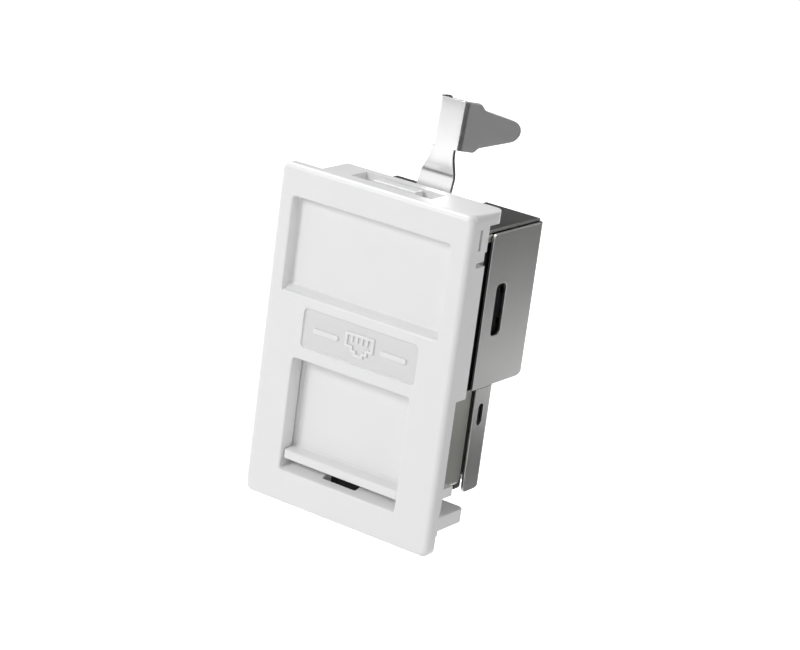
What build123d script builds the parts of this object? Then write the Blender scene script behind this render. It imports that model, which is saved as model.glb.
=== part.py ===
from build123d import *
import math
import os

os.makedirs("parts", exist_ok=True)

# Shuttered, shielded data outlet module that snaps into a wall faceplate.
# X runs to the right seen from the front, Y runs back into the wall box, Z runs up.
# The origin is the centre of the front face of the bezel. All sizes are in millimetres.

# Bezel face and body
face_width = 25.0
face_height = 38.0
face_corner = 1.0
face_round = 0.6
flange_depth = 1.4
wall = 1.2
skirt_depth = 3.5
skirt_overlap = 0.64
panel_margin = 1.5
rail_width = 1.45

# Label recess above the shutter
recess_left_margin = 1.86
recess_right_margin = 2.26
recess_top_margin = 3.31
recess_gap = 1.36
recess_depth = 1.3
recess_corner = 0.8
recess_base_round = 0.3
recess_floor_thick = 0.6

# Shallow field between the recess and the window
field_x = 0.41
field_width = 15.18
field_height = 4.49
field_gap = 1.42
field_depth = 0.2
field_corner = 0.5

# Window for the plug, with its sill
window_x = -0.2
window_overlap = 0.74
window_corner = 0.8
sill_rise = 2.35
sill_shelf = 0.85
notch_width = 4.0
notch_front = 1.35
notch_height = 1.25

# Locating lobe along the top, with its release pocket
lobe_left_margin = 4.4
lobe_rear = 6.2
lobe_corner = 0.8
lobe_thick = 1.3
lobe_web = 1.2
web_right_margin = 3.9
pocket_margin = 3.35
pocket_width = 10.4
pocket_front = 2.1
pocket_rear = 4.9
pocket_depth = 1.6
tongue_margin = 2.2
tongue_width = 5.5
tongue_front = 3.1
tongue_rear = 4.55
tongue_drop = 0.05

# Flexing tab cut out of each upper side wall
tab_slot_y = 1.9
tab_slot_width = 0.3
tab_slot_drop = 0.26
tab_slot_height = 2.27
tab_step_drop = 3.4
tab_step_height = 0.7
tab_step = 0.3
tab_notch_y = 1.76
tab_notch_height = 0.5

# Snap hooks under the body and clips that hold the jack
hook_margin = 0.5
hook_width = 4.1
hook_reach = 5.3
hook_rise = 2.6
hook_thick = 1.55
hook_corner = 0.8
clip_clear = 0.15
clip_reach = 0.65
clip_hold = 0.4
upper_clip_drop = 9.5
upper_clip_height = 3.0
lower_clip_rise = 0.65
lower_clip_height = 1.1
lower_clip_thick = 0.85

# Shutter and its springs
slide_clear = 0.15
slide_back_clear = 0.35
shutter_thick = 1.0
shutter_rise = 1.25
shutter_top_overlap = 0.74
shutter_travel = 10.5
travel_clear = 0.31
lip_reach = 1.68
lip_rise = 0.1
lip_height = 0.95
lip_clear = 0.1
lip_round = 0.3
ear_reach = 1.1
ear_drop = 0.6
ear_height = 1.4
ear_gap = 0.05
spring_wire = 0.2
spring_turns = 10
spring_stop_drop = 1.7
spring_stop_height = 1.0

# Jack housing with the plug cavity
collar_margin = 0.8
collar_thick = 0.8
collar_step = 1.1
sheet = 0.3
housing_top_clear = 1.5
housing_rise = 1.95
housing_corner = 0.9
apron_clear = 0.2
apron_drop = 1.35
sleeve_length = 4.9
sleeve_gap = 0.2
sleeve_corner = 1.0
tail_length = 1.9
tail_step = 0.4
cavity_width = 11.9
cavity_height = 6.8
keyway_floor = 0.4
keyway_height = 0.6
keyway_width = 3.8
keyway_step_height = 1.0
keyway_step_width = 6.2

# Plug contacts
contact_count = 8
contact_pitch = 1.016
contact_wire = 0.3
contact_length = 5.0
contact_return = 3.6
contact_drop = 2.3
contact_bend = 0.35
carrier_margin = 0.64
carrier_lead = 1.0
carrier_height = 2.0
carrier_rib_width = 0.5
carrier_rib_height = 0.35

# Circuit board
board_margin = 0.4
board_thick = 1.1
board_corner = 0.6

# Rear shield around the wire terminals
can_clear = 0.08
can_lap = 1.05
can_back_clear = 1.05
can_bottom = -2.32
can_top_clear = 0.37
can_seam = 0.22
can_bend = 0.45
can_front_corner = 0.7
can_low_corner = 1.2
can_slot_inset = 3.49
can_slot_width = 1.94
can_slot_rise = 8.77
can_slot_height = 5.89
can_slot_corner = 0.6
entry_half = 2.6
entry_clear = 0.8
entry_depth = 5.9

# Lower shield behind the plug cavity
low_gap = 0.4
low_board_clear = 0.15
low_drop = 1.2
low_front_corner = 1.5
low_back_corner = 1.0
low_slot_inset = 1.37
low_slot_drop = 3.16
low_slot_height = 2.5
low_slot_width = 1.05

# Wire terminals
block_entry_clear = 0.7
block_margin = 0.4
block_depth = 3.7
block_floor_clear = 0.42
slot_count = 4
slot_pitch = 3.6
slot_width = 0.9
slot_base = 1.0
blade_thick = 0.4
blade_height = 2.2
blade_drop = 0.6
blade_slit = 0.35
blade_root = 0.3
blade_clear = 0.05
cap_thick = 1.3
cap_lip = 0.2
cap_rib_width = 0.7
cap_rib_reach = 0.5

# Cable clamp strap with its two wings
strap_sheet = 0.5
strap_side_clear = 0.4
strap_head_left = 1.25
strap_head_right = 1.97
strap_neck_rise = 2.83
strap_neck_height = 3.25
strap_neck_round = 2.5
strap_offset = 0.1
strap_foot_gap = 0.2
strap_lean = 5.0
strap_bend = 0.7
strap_joggle = 0.3
strap_joggle_rise = 2.1
strap_joggle_height = 1.05
strap_rise = 11.83
wing_rise = 6.43
wing_root_length = 1.5
wing_shoulder_drop = 0.65
wing_shoulder_length = 0.8
wing_length = 6.4
wing_tip_height = 1.95
wing_tip_lift = 0.3
wing_bend = 0.4
wing_round = 0.3
wing_tip_round = 0.9
right_wing_fold = 45.0
left_wing_fold = 90.0

# Places across the width
half_width = face_width / 2
inner_half = half_width - wall
rail_inner = inner_half - rail_width
ear_half = rail_inner - slide_clear
shutter_half = ear_half - ear_reach
window_width = 2 * (shutter_half - window_overlap)
window_left = window_x - window_width / 2
window_right = window_x + window_width / 2
recess_left = recess_left_margin - half_width
recess_right = half_width - recess_right_margin
lobe_left = lobe_left_margin - half_width
web_right = half_width - web_right_margin
pocket_left = lobe_left + pocket_margin
pocket_right = pocket_left + pocket_width
tongue_left = pocket_left + tongue_margin
tongue_right = tongue_left + tongue_width
hook_outer = half_width - hook_margin
hook_inner = hook_outer - hook_width
collar_half = inner_half - collar_margin
clip_inner = collar_half + clip_clear
housing_half = collar_half - collar_step
tail_half = housing_half + sheet
can_half = tail_half + can_clear + sheet
board_half = tail_half - board_margin
carrier_half = contact_count * contact_pitch / 2 + carrier_margin
block_inner = entry_half + block_entry_clear
block_outer = board_half - block_margin
cap_inner = block_inner - cap_lip
cap_outer = block_outer + cap_lip
strap_base_half = entry_half - strap_side_clear

# Places from front to back
panel_rear = recess_depth + recess_floor_thick
sill_depth = panel_rear + sill_shelf
plate_front = panel_rear + slide_clear
plate_rear = plate_front + shutter_thick
lip_front = plate_front - lip_reach
rail_depth = plate_rear + slide_back_clear
hook_rear = flange_depth + hook_reach
collar_rear = rail_depth + collar_thick
clip_hook = collar_rear + clip_clear
clip_rear = clip_hook + clip_reach
sleeve_rear = collar_rear + sleeve_length
tail_front = sleeve_rear + sleeve_gap
tail_rear = tail_front + tail_length
contact_nose = tail_rear - contact_length
contact_end = contact_nose + contact_return
carrier_front = contact_nose - carrier_lead
board_rear = tail_rear + board_thick
block_rear = board_rear + block_depth
cap_rear = block_rear + cap_thick
slot_floor = board_rear + slot_base
blade_tip = block_rear - blade_drop
blade_slit_floor = slot_floor + blade_root
can_front = sleeve_rear - can_lap
can_back = cap_rear + can_back_clear + sheet
low_front = sleeve_rear + low_gap
low_back = board_rear + low_board_clear + sheet
strap_y = tail_rear + strap_offset
strap_foot_front = sleeve_rear + strap_foot_gap
entry_front = strap_y - entry_clear

# Heights, those below from the lower edge of the face and those above from its top
half_height = face_height / 2
panel_bottom = panel_margin - half_height
panel_top = half_height - panel_margin
window_bottom = panel_bottom + sill_rise
shutter_bottom = window_bottom + shutter_rise
lip_bottom = shutter_bottom + lip_rise
lip_top = lip_bottom + lip_height
window_top = lip_top + shutter_travel + travel_clear
shutter_top = window_top + shutter_top_overlap
ear_top = shutter_top - ear_drop
ear_bottom = ear_top - ear_height
skirt_bottom = window_top + skirt_overlap
skirt_top = half_height - lobe_thick
field_bottom = window_top + field_gap
field_top = field_bottom + field_height
recess_bottom = field_top + recess_gap
recess_top = half_height - recess_top_margin
spring_stop_z = panel_top - spring_stop_drop
hook_top = panel_bottom + hook_rise
housing_bottom = window_bottom + housing_rise
housing_top = half_height - lobe_thick - lobe_web - housing_top_clear
apron_bottom = window_bottom - apron_drop
keyway_bottom = housing_bottom + keyway_floor
keyway_step_bottom = keyway_bottom + keyway_height
cavity_bottom = keyway_step_bottom + keyway_step_height
cavity_top = cavity_bottom + cavity_height
carrier_top = cavity_top + carrier_height
contact_z = cavity_top - contact_wire / 2
contact_end_z = cavity_top - contact_drop
tail_bottom = housing_bottom + tail_step
tail_top = housing_top - tail_step
board_bottom = tail_bottom + tail_step
board_top = tail_top
can_top = housing_top + sheet + can_top_clear
low_bottom = housing_bottom - low_drop
block_bottom = can_bottom + sheet + block_floor_clear
block_top = board_top - block_margin


def layer(y):
    """Sketch plane parallel to the front face at depth y. Negative extrudes run back."""
    return Plane.XZ.offset(-y)


def span(low, high):
    """Centre of a stretch."""
    return (low + high) / 2


def rectangle_between(x0, x1, z0, z1, mode=Mode.ADD):
    """Rectangle from its four sides, in the open sketch."""
    with Locations((span(x0, x1), span(z0, z1))):
        Rectangle(x1 - x0, z1 - z0, mode=mode)


def body_section(half, bottom, top, corner):
    """Upright rounded section, in the open sketch."""
    with Locations((0, span(bottom, top))):
        RectangleRounded(2 * half, top - bottom, corner)


def side_outline(front, back, bottom, top, front_top, front_low, back_low):
    """Side view of a folded shield with its rounded corners."""
    with BuildSketch() as outline:
        with BuildLine():
            Line((front + front_top, top), (back, top))
            Line((back, top), (back, bottom + back_low))
            RadiusArc((back, bottom + back_low), (back - back_low, bottom), back_low)
            Line((back - back_low, bottom), (front + front_low, bottom))
            if front_low > 0:
                RadiusArc(
                    (front + front_low, bottom), (front, bottom + front_low), front_low
                )
            Line((front, bottom + front_low), (front, top - front_top))
            if front_top > 0:
                RadiusArc(
                    (front, top - front_top), (front + front_top, top), front_top
                )
        make_face()
    return outline.sketch


# Bezel
with BuildPart() as bezel:
    # Face plate with a rounded front edge
    with BuildSketch(layer(0)):
        RectangleRounded(face_width, face_height, face_corner)
    extrude(amount=-flange_depth)
    fillet(bezel.faces().sort_by(Axis.Y)[0].edges(), face_round)
    # Inner panel that thickens the plate behind the recess and around the window
    with BuildSketch(layer(flange_depth)):
        rectangle_between(-inner_half, inner_half, panel_bottom, panel_top)
    extrude(amount=flange_depth - panel_rear)
    # Side walls of the skirt
    with BuildSketch(layer(flange_depth)):
        for side in (-1, 1):
            rectangle_between(
                *sorted((side * inner_half, side * half_width)), skirt_bottom, skirt_top
            )
    extrude(amount=flange_depth - skirt_depth)
    # Guide rails for the shutter, which also seat the jack
    with BuildSketch(layer(panel_rear)):
        for side in (-1, 1):
            rectangle_between(
                *sorted((side * rail_inner, side * inner_half)), panel_bottom, panel_top
            )
    extrude(amount=panel_rear - rail_depth)
    # Ledges that stop the shutter below and blocks that back its springs above
    with BuildSketch(layer(panel_rear)):
        for side in (-1, 1):
            stop_inner = side * (shutter_half + slide_clear)
            rectangle_between(
                *sorted((stop_inner, side * inner_half)),
                ear_bottom - ear_gap - ear_height, ear_bottom - ear_gap,
            )
            rectangle_between(
                *sorted((stop_inner, side * inner_half)),
                spring_stop_z, spring_stop_z + spring_stop_height,
            )
    extrude(amount=panel_rear - rail_depth)
    # Lobe along the top edge, thicker where the pocket is
    with BuildSketch(layer(flange_depth)):
        RectangleRounded(face_width, face_height, face_corner)
        rectangle_between(
            lobe_left, half_width, half_height - lobe_thick, half_height, Mode.INTERSECT
        )
    extrude(amount=flange_depth - lobe_rear)
    with BuildSketch(layer(flange_depth)):
        rectangle_between(
            lobe_left, web_right,
            half_height - lobe_thick - lobe_web, half_height - lobe_thick,
        )
    extrude(amount=flange_depth - lobe_rear)
    lobe_edges = bezel.edges().filter_by(Axis.Z).filter_by_position(
        Axis.Y, lobe_rear - 0.01, lobe_rear + 0.01
    )
    fillet(lobe_edges.sort_by(Axis.X)[-1], lobe_corner)
    # Release pocket in the lobe, with a tongue left standing in it
    with BuildSketch(Plane.XY.offset(half_height)):
        rectangle_between(pocket_left, pocket_right, pocket_front, pocket_rear)
        rectangle_between(
            tongue_left, tongue_right, tongue_front, tongue_rear, Mode.SUBTRACT
        )
    extrude(amount=-pocket_depth, mode=Mode.SUBTRACT)
    with BuildSketch(Plane.XY.offset(half_height)):
        rectangle_between(tongue_left, tongue_right, tongue_front, tongue_rear)
    extrude(amount=-tongue_drop, mode=Mode.SUBTRACT)
    # Label recess with a rounded base
    with BuildSketch(layer(0)):
        with Locations((span(recess_left, recess_right), span(recess_bottom, recess_top))):
            RectangleRounded(
                recess_right - recess_left, recess_top - recess_bottom, recess_corner
            )
    extrude(amount=-recess_depth, mode=Mode.SUBTRACT)
    recess_floor = bezel.faces().filter_by(Axis.Y).filter_by_position(
        Axis.Y, recess_depth - 0.01, recess_depth + 0.01
    ).sort_by(SortBy.AREA)[-1]
    fillet(recess_floor.edges(), recess_base_round)
    # Shallow field
    with BuildSketch(layer(0)):
        with Locations((field_x, span(field_bottom, field_top))):
            RectangleRounded(field_width, field_height, field_corner)
    extrude(amount=-field_depth, mode=Mode.SUBTRACT)
    # Sill block behind the window's lower edge
    with BuildSketch(layer(panel_rear)):
        rectangle_between(-rail_inner, rail_inner, panel_bottom, window_bottom)
    extrude(amount=panel_rear - sill_depth)
    # Window
    with BuildSketch(layer(0)):
        rectangle_between(window_left, window_right, window_bottom, window_top)
    extrude(amount=-panel_rear, mode=Mode.SUBTRACT)
    window_uprights = bezel.edges().filter_by(Axis.Y).filter_by_position(
        Axis.Z, window_top - 0.01, window_top + 0.01
    ).filter_by_position(Axis.X, window_left - 0.01, window_right + 0.01)
    fillet(window_uprights, window_corner)
    # Clearance notch in the sill for the latch of the plug
    with BuildSketch(layer(notch_front)):
        with Locations((window_x, window_bottom - notch_height / 2)):
            Rectangle(notch_width, notch_height)
    extrude(amount=notch_front - sill_depth, mode=Mode.SUBTRACT)
    # Snap hooks under the body
    with BuildSketch(layer(flange_depth)):
        for side in (-1, 1):
            rectangle_between(
                *sorted((side * hook_inner, side * hook_outer)),
                hook_top - hook_thick, hook_top,
            )
    extrude(amount=flange_depth - hook_rear)
    hook_corners = bezel.edges().filter_by(Axis.Z).filter_by_position(
        Axis.Y, hook_rear - 0.01, hook_rear + 0.01
    )
    fillet(hook_corners, hook_corner)
    # Clips that hold the collar of the jack
    for clip_bottom, clip_height, clip_outer in (
        (half_height - upper_clip_drop - upper_clip_height / 2, upper_clip_height, inner_half),
        (
            housing_bottom + lower_clip_rise - lower_clip_height / 2,
            lower_clip_height,
            clip_inner + lower_clip_thick,
        ),
    ):
        with BuildSketch(Plane.XY.offset(clip_bottom)):
            for side in (-1, 1):
                with BuildLine():
                    Polyline(
                        (side * clip_inner, flange_depth),
                        (side * clip_inner, clip_hook),
                        (side * (clip_inner - clip_hold), clip_hook),
                        (side * clip_inner, clip_rear),
                        (side * clip_outer, clip_rear),
                        (side * clip_outer, flange_depth),
                        close=True,
                    )
                make_face()
        extrude(amount=clip_height)
    # Flexing tabs in the side walls
    tab_slot_top = skirt_top - tab_slot_drop
    tab_step_top = skirt_top - tab_step_drop
    tab_notch_top = tab_step_top - tab_step_height
    for start in (-half_width, inner_half):
        with BuildSketch(Plane.YZ.offset(start)):
            rectangle_between(
                tab_slot_y, tab_slot_y + tab_slot_width,
                tab_slot_top - tab_slot_height, tab_slot_top,
            )
            rectangle_between(
                skirt_depth - tab_step, skirt_depth, tab_notch_top, tab_step_top
            )
            rectangle_between(
                tab_notch_y, skirt_depth, tab_notch_top - tab_notch_height, tab_notch_top
            )
        extrude(amount=wall, mode=Mode.SUBTRACT)

# Shutter
with BuildPart() as shutter:
    with BuildSketch(layer(plate_front)):
        rectangle_between(-shutter_half, shutter_half, shutter_bottom, shutter_top)
        rectangle_between(-ear_half, ear_half, ear_bottom, ear_top)
    extrude(amount=-shutter_thick)
    # Finger lip that stands forward in the window
    with BuildSketch(layer(lip_front)):
        rectangle_between(
            window_left + lip_clear, window_right - lip_clear, lip_bottom, lip_top
        )
    extrude(amount=lip_front - plate_front)
    lip_nose = shutter.edges().filter_by(Axis.X).filter_by_position(
        Axis.Y, lip_front - 0.01, lip_front + 0.01
    )
    fillet(lip_nose, lip_round)

# Shutter springs
spring_radius = (ear_half - shutter_half - spring_wire) / 2
spring_x = span(shutter_half, ear_half)
spring_y = plate_front + shutter_thick / 2
spring_low = ear_top + ear_gap + spring_wire / 2
spring_high = spring_stop_z - ear_gap - spring_wire / 2
spring_pitch = (spring_high - spring_low) / spring_turns
springs = {}
for name, side in (("shutter_spring_left", -1), ("shutter_spring_right", 1)):
    with BuildPart() as spring:
        with BuildLine(Plane((side * spring_x, spring_y, spring_low))):
            coil = Helix(spring_pitch, spring_high - spring_low, spring_radius)
        with BuildSketch(Plane(coil @ 0, z_dir=coil % 0)):
            RegularPolygon(spring_wire / 2, 6)
        sweep(is_frenet=True)
    springs[name] = spring

# Jack housing
with BuildPart() as jack_housing:
    # Collar that the bezel clips hold
    with BuildSketch(layer(rail_depth)):
        body_section(collar_half, housing_bottom, housing_top, housing_corner)
    extrude(amount=-collar_thick)
    # Apron that closes the space behind the sill
    with BuildSketch(layer(rail_depth)):
        rectangle_between(
            apron_clear - hook_inner, hook_inner - apron_clear,
            apron_bottom, housing_bottom + housing_corner,
        )
    extrude(amount=-collar_thick)
    # Body inside the sleeve of the front shield
    with BuildSketch(layer(collar_rear)):
        body_section(housing_half, housing_bottom, housing_top, housing_corner)
    extrude(amount=collar_rear - tail_front)
    # Tail that carries the board and locates the rear shield
    with BuildSketch(layer(tail_front)):
        body_section(tail_half, tail_bottom, tail_top, housing_corner)
    extrude(amount=tail_front - tail_rear)
    # Plug cavity with the stepped keyway for the latch
    with BuildSketch(layer(rail_depth)):
        rectangle_between(
            -cavity_width / 2, cavity_width / 2, cavity_bottom, cavity_top
        )
        rectangle_between(
            -keyway_step_width / 2, keyway_step_width / 2,
            keyway_step_bottom, cavity_bottom,
        )
        rectangle_between(
            -keyway_width / 2, keyway_width / 2, keyway_bottom, keyway_step_bottom
        )
    extrude(amount=rail_depth - tail_rear, mode=Mode.SUBTRACT)
    # Seat for the contact carrier above the cavity
    with BuildSketch(layer(carrier_front)):
        rectangle_between(-carrier_half, carrier_half, cavity_top, carrier_top)
    extrude(amount=carrier_front - tail_rear, mode=Mode.SUBTRACT)

# Contact carrier with a rib each side of every contact
with BuildPart() as contact_carrier:
    with BuildSketch(layer(carrier_front)):
        rectangle_between(-carrier_half, carrier_half, cavity_top, carrier_top)
        with Locations((0, cavity_top - carrier_rib_height / 2)):
            with GridLocations(contact_pitch, 0, contact_count + 1, 1):
                Rectangle(carrier_rib_width, carrier_rib_height)
    extrude(amount=carrier_front - tail_rear)

# Plug contacts, bent from spring wire
contacts = {}
for i in range(contact_count):
    contact_x = (i - (contact_count - 1) / 2) * contact_pitch
    with BuildPart() as contact:
        with BuildSketch(Plane.YZ.offset(contact_x - contact_wire / 2)):
            with BuildLine():
                FilletPolyline(
                    (tail_rear, contact_z),
                    (contact_nose, contact_z),
                    (contact_end, contact_end_z),
                    radius=contact_bend,
                )
            trace(line_width=contact_wire)
        extrude(amount=contact_wire)
    contacts[f"contact_wire_{i + 1}"] = contact

# Circuit board
with BuildPart() as circuit_board:
    with BuildSketch(layer(tail_rear)):
        body_section(board_half, board_bottom, board_top, board_corner)
    extrude(amount=-board_thick)

# Front shield, a folded sleeve round the housing
sleeve_side = side_outline(
    collar_rear, sleeve_rear, housing_bottom - sheet, housing_top + sheet,
    0, 0, sleeve_corner,
)
with BuildPart() as front_shield:
    with BuildSketch(layer(collar_rear)):
        body_section(
            housing_half + sheet, housing_bottom - sheet, housing_top + sheet,
            housing_corner + sheet,
        )
        with Locations((0, span(housing_bottom, housing_top))):
            RectangleRounded(
                2 * housing_half, housing_top - housing_bottom, housing_corner,
                mode=Mode.SUBTRACT,
            )
    extrude(amount=-sleeve_length)
    with BuildSketch(Plane.YZ.offset(-tail_half)):
        add(sleeve_side)
    extrude(amount=2 * tail_half, mode=Mode.INTERSECT)


def folded_strip(half, front, back, bend):
    """Plan line of a back panel with two sides folded forward."""
    with BuildLine() as path:
        FilletPolyline(
            (-half + sheet / 2, front),
            (-half + sheet / 2, back - sheet / 2),
            (half - sheet / 2, back - sheet / 2),
            (half - sheet / 2, front),
            radius=bend - sheet / 2,
        )
    return path.line


can_strip = folded_strip(can_half, can_front, can_back, can_bend)
can_side = side_outline(
    can_front, can_back, can_bottom, can_top - sheet - can_seam / 2,
    can_front_corner, 0, can_low_corner,
)
low_strip = folded_strip(can_half, low_front, low_back, can_bend)
low_side = side_outline(
    low_front, low_back, low_bottom, can_bottom, 0, low_front_corner, low_back_corner
)

# Rear shield: back panel with sides, top and bottom folded forward
with BuildPart() as rear_shield:
    with BuildSketch(Plane.XY.offset(can_bottom)):
        trace(can_strip, line_width=sheet)
    extrude(amount=can_top - can_bottom)
    # Side outline, a seam below the top panel
    with BuildSketch(Plane.YZ.offset(-can_half)):
        add(can_side)
    extrude(amount=2 * can_half, mode=Mode.INTERSECT)
    # Back panel between the side bends, with the top and bottom panels bent from it
    flap_half = can_half - sheet - can_seam
    with BuildSketch(Plane.XY.offset(can_bottom)):
        rectangle_between(-flap_half, flap_half, can_back - 2 * sheet, can_back)
    extrude(amount=can_top - can_bottom, mode=Mode.SUBTRACT)
    with BuildSketch(Plane.YZ.offset(-flap_half)):
        with BuildLine():
            FilletPolyline(
                (can_front + can_seam, can_top - sheet / 2),
                (can_back - sheet / 2, can_top - sheet / 2),
                (can_back - sheet / 2, can_bottom + sheet / 2),
                (low_back - sheet, can_bottom + sheet / 2),
                radius=can_bend - sheet / 2,
            )
        trace(line_width=sheet)
    extrude(amount=2 * flap_half)
    # Cable entry, open through the top and the back
    entry_low = can_top - entry_depth
    with BuildSketch(Plane.XY.offset(can_top - 2 * sheet)):
        rectangle_between(-entry_half, entry_half, entry_front, can_back)
    extrude(amount=2 * sheet, mode=Mode.SUBTRACT)
    with BuildSketch(layer(can_back - 2 * sheet)):
        rectangle_between(-entry_half, entry_half, entry_low + entry_half, can_top)
        with Locations((0, entry_low + entry_half)):
            Circle(entry_half)
    extrude(amount=-2 * sheet, mode=Mode.SUBTRACT)
    # Slot in each side
    with BuildSketch(Plane.YZ.offset(-can_half)):
        with Locations((can_front + can_slot_inset, can_bottom + can_slot_rise)):
            RectangleRounded(can_slot_width, can_slot_height, can_slot_corner)
    extrude(amount=2 * can_half, mode=Mode.SUBTRACT)

# Lower shield
with BuildPart() as lower_shield:
    with BuildSketch(Plane.XY.offset(low_bottom)):
        trace(low_strip, line_width=sheet)
    extrude(amount=can_bottom - low_bottom)
    with BuildSketch(Plane.YZ.offset(-can_half)):
        add(low_side)
    extrude(amount=2 * can_half, mode=Mode.INTERSECT)
    # Oval slot in each side
    with BuildSketch(Plane.YZ.offset(-can_half)):
        with Locations((low_front + low_slot_inset, can_bottom - low_slot_drop)):
            SlotOverall(low_slot_height, low_slot_width, rotation=90)
    extrude(amount=2 * can_half, mode=Mode.SUBTRACT)

# Wire terminal blocks, one column of slots on each side of the cable
slot_middle = span(block_bottom, block_top)
blade_x = span(block_inner, block_outer)
blocks = {}
for name, side in (("idc_block_left", -1), ("idc_block_right", 1)):
    with BuildPart() as block:
        with BuildSketch(layer(board_rear)):
            rectangle_between(
                *sorted((side * block_inner, side * block_outer)), block_bottom, block_top
            )
        extrude(amount=board_rear - block_rear)
        with BuildSketch(layer(slot_floor)):
            with Locations((side * blade_x, slot_middle)):
                with GridLocations(0, slot_pitch, 1, slot_count):
                    Rectangle(block_outer - block_inner, slot_width)
        extrude(amount=slot_floor - block_rear, mode=Mode.SUBTRACT)
        with BuildSketch(layer(board_rear)):
            with Locations((side * blade_x, slot_middle)):
                with GridLocations(0, slot_pitch, 1, slot_count):
                    Rectangle(
                        blade_thick + 2 * blade_clear, blade_height + 2 * blade_clear
                    )
        extrude(amount=board_rear - block_rear, mode=Mode.SUBTRACT)
    blocks[name] = block

# Forked blades that cut into the wires
blades = {}
for i in range(2 * slot_count):
    side = -1 if i < slot_count else 1
    row = i % slot_count
    blade_z = slot_middle + (row - (slot_count - 1) / 2) * slot_pitch
    with BuildPart() as blade:
        with BuildSketch(Plane.YZ.offset(side * blade_x - blade_thick / 2)):
            rectangle_between(
                board_rear, blade_tip, blade_z - blade_height / 2, blade_z + blade_height / 2
            )
            rectangle_between(
                blade_slit_floor, blade_tip,
                blade_z - blade_slit / 2, blade_z + blade_slit / 2, Mode.SUBTRACT,
            )
        extrude(amount=blade_thick)
    blades[f"idc_blade_{i + 1}"] = blade

# Caps that press the wires home
caps = {}
for name, side in (("wire_cap_left", -1), ("wire_cap_right", 1)):
    with BuildPart() as cap:
        with BuildSketch(layer(block_rear)):
            rectangle_between(
                *sorted((side * cap_inner, side * cap_outer)), block_bottom, block_top
            )
        extrude(amount=-cap_thick)
        with BuildSketch(layer(block_rear)):
            with Locations((side * blade_x, slot_middle)):
                with GridLocations(0, slot_pitch, 1, slot_count):
                    Rectangle(block_outer - block_inner, cap_rib_width)
        extrude(amount=cap_rib_reach)
    caps[name] = cap

# Cable clamp
lean = math.radians(strap_lean)
strap_up = Vector(0, math.sin(lean), math.cos(lean))
strap_back = Vector(0, math.cos(lean), -math.sin(lean))
foot_z = can_top - sheet - strap_sheet / 2
strap_start = Vector(0, strap_y, foot_z)
head_start = strap_start + strap_up * ((can_top + wing_rise - foot_z) / math.cos(lean))
joggle_rise = strap_joggle_rise + strap_joggle_height
joggle_end = strap_start + strap_up * ((can_top + joggle_rise - foot_z) / math.cos(lean))
head_height = (strap_rise - wing_rise) / math.cos(lean)
wing_folds = {-1: math.radians(left_wing_fold), 1: math.radians(right_wing_fold)}
wing_roots = {-1: strap_sheet / 2 - strap_head_left, 1: strap_head_right}
wing_ends = {
    side: (
        wing_roots[side] + side * wing_length * math.cos(fold),
        wing_length * math.sin(fold),
    )
    for side, fold in wing_folds.items()
}

# Head of the strap with a wing folded back at each edge
with BuildPart() as clamp_head:
    with BuildSketch(Plane(origin=head_start, x_dir=(1, 0, 0), z_dir=strap_up)):
        with BuildLine():
            FilletPolyline(
                wing_ends[-1],
                (wing_roots[-1], 0),
                (wing_roots[1], 0),
                wing_ends[1],
                radius=wing_bend,
            )
        trace(line_width=strap_sheet)
    extrude(amount=head_height)
    # Each wing is trimmed to its shouldered, tapering outline
    shoulder_x = wing_root_length + wing_shoulder_length
    tip_low = (head_height - wing_tip_height) / 2 + wing_tip_lift
    tip_high = tip_low + wing_tip_height
    for side, fold in wing_folds.items():
        along = Vector(side * math.cos(fold), 0, 0) + strap_back * math.sin(fold)
        root = head_start + Vector(wing_roots[side], 0, 0)
        with BuildSketch(
            Plane(origin=root, x_dir=along, z_dir=along.cross(strap_up))
        ):
            rectangle_between(wing_root_length, 2 * wing_length, -1, head_height + 1)
            with BuildLine():
                outline = FilletPolyline(
                    (wing_bend, 0),
                    (wing_root_length, 0),
                    (shoulder_x, wing_shoulder_drop),
                    (wing_length, tip_low),
                    (wing_length, tip_high),
                    (shoulder_x, head_height - wing_shoulder_drop),
                    (wing_root_length, head_height),
                    (wing_bend, head_height),
                    radius=[
                        wing_round, wing_round, wing_tip_round,
                        wing_tip_round, wing_round, wing_round,
                    ],
                )
                Line(outline @ 1, outline @ 0)
            make_face(mode=Mode.SUBTRACT)
        extrude(amount=strap_sheet, both=True, mode=Mode.SUBTRACT)

with BuildPart() as cable_clamp:
    # Foot, joggle and strap in side view
    with BuildSketch(Plane.YZ.offset(-strap_base_half)):
        with BuildLine():
            FilletPolyline(
                (strap_foot_front, foot_z),
                (strap_y - strap_joggle, foot_z),
                (strap_y - strap_joggle, can_top + strap_joggle_rise),
                (joggle_end.Y, joggle_end.Z),
                (head_start.Y, head_start.Z),
                radius=strap_bend,
            )
        trace(line_width=strap_sheet)
    extrude(amount=2 * strap_base_half)
    # Front outline, necked in above the base, its right side up to where the wing bends away
    neck_low = can_top + strap_neck_rise
    neck_high = neck_low + strap_neck_height
    flat_right = wing_roots[1] - wing_bend * math.tan(wing_folds[1] / 2)
    with BuildSketch(layer(0)):
        for side, head_edge in ((-1, strap_head_left), (1, flat_right)):
            with BuildLine():
                neck = FilletPolyline(
                    (side * strap_base_half, 0),
                    (side * strap_base_half, neck_low),
                    (side * head_edge, neck_high),
                    (side * head_edge, neck_high + strap_neck_height),
                    radius=strap_neck_round,
                )
                Polyline(neck @ 0, (0, 0), (0, neck_high + strap_neck_height), neck @ 1)
            make_face()
    extrude(amount=-can_back, mode=Mode.INTERSECT)
    add(clamp_head.part)

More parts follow.
